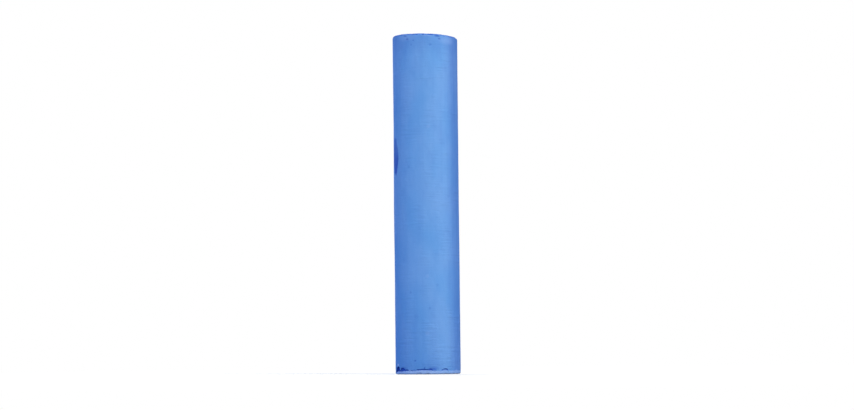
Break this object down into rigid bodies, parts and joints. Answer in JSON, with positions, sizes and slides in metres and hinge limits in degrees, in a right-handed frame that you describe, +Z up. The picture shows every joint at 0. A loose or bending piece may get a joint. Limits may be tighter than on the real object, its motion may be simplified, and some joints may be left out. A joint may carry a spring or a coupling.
{
  "type": "soft pastel stick",
  "caption": "Round stick of pressed blue pastel, used for drawing, standing on a flat cut end, with a chipped rim and a slightly slanted top.",
  "frame": {"origin": "middle of the foot, the flat cut end that the stick stands on", "axes": "+Z up along the stick, -Y the front, +X to the right of someone looking at the front"},
  "size_m": [0.0124, 0.0124, 0.0642],
  "materials": {
    "pastel": "matte"
  },
  "bodies": {
    "root": {"pastel_stick": "pastel"}
  },
  "joints": []
}
